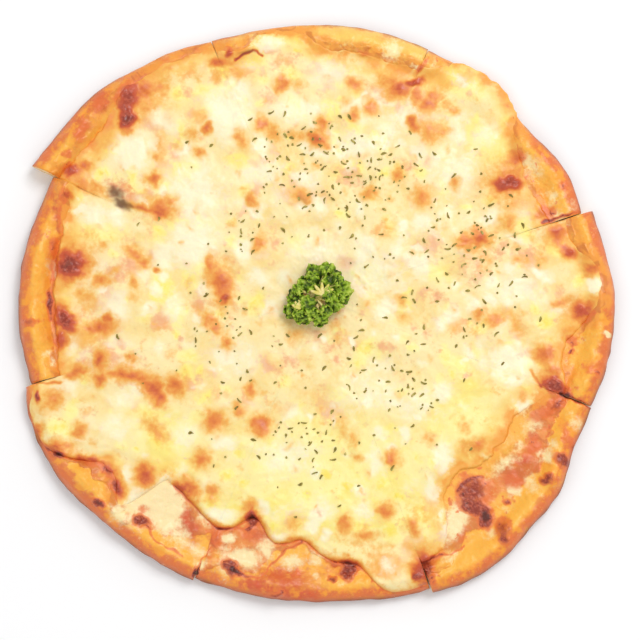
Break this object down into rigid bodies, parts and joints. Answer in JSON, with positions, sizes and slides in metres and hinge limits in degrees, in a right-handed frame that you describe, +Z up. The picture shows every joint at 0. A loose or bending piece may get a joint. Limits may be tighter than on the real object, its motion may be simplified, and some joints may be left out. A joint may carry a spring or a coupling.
{
  "type": "white pizza",
  "caption": "Round white pizza cut into slices that lie together, with melted cheese, herb flakes and a parsley sprig.",
  "frame": {"origin": "on the table under the middle of the pizza's outline", "axes": "+Z up out of the cheese, +X to the right and +Y away from the viewer as the picture shows the pizza"},
  "size_m": [0.2994, 0.2906, 0.0209],
  "materials": {
    "baked_crust": "baked dough, matt with a little oil, yellow-orange to brown",
    "melted_cheese": "melted cheese, pale cream with golden and brown blisters, soft sheen",
    "parsley_leaf": "fresh curly parsley, green, matt"
  },
  "bodies": {
    "root": {"dough_right": "baked_crust", "dough_upper_right": "baked_crust", "dough_top": "baked_crust", "dough_upper_left": "baked_crust", "dough_left": "baked_crust", "dough_lower_left": "baked_crust", "dough_bottom": "baked_crust", "dough_lower_right": "baked_crust", "cheese_right": "melted_cheese", "cheese_upper_right": "melted_cheese", "cheese_top": "melted_cheese", "cheese_upper_left": "melted_cheese", "cheese_left": "melted_cheese", "cheese_lower_left": "melted_cheese", "cheese_bottom": "melted_cheese", "cheese_lower_right": "melted_cheese", "parsley": "parsley_leaf"}
  },
  "joints": []
}
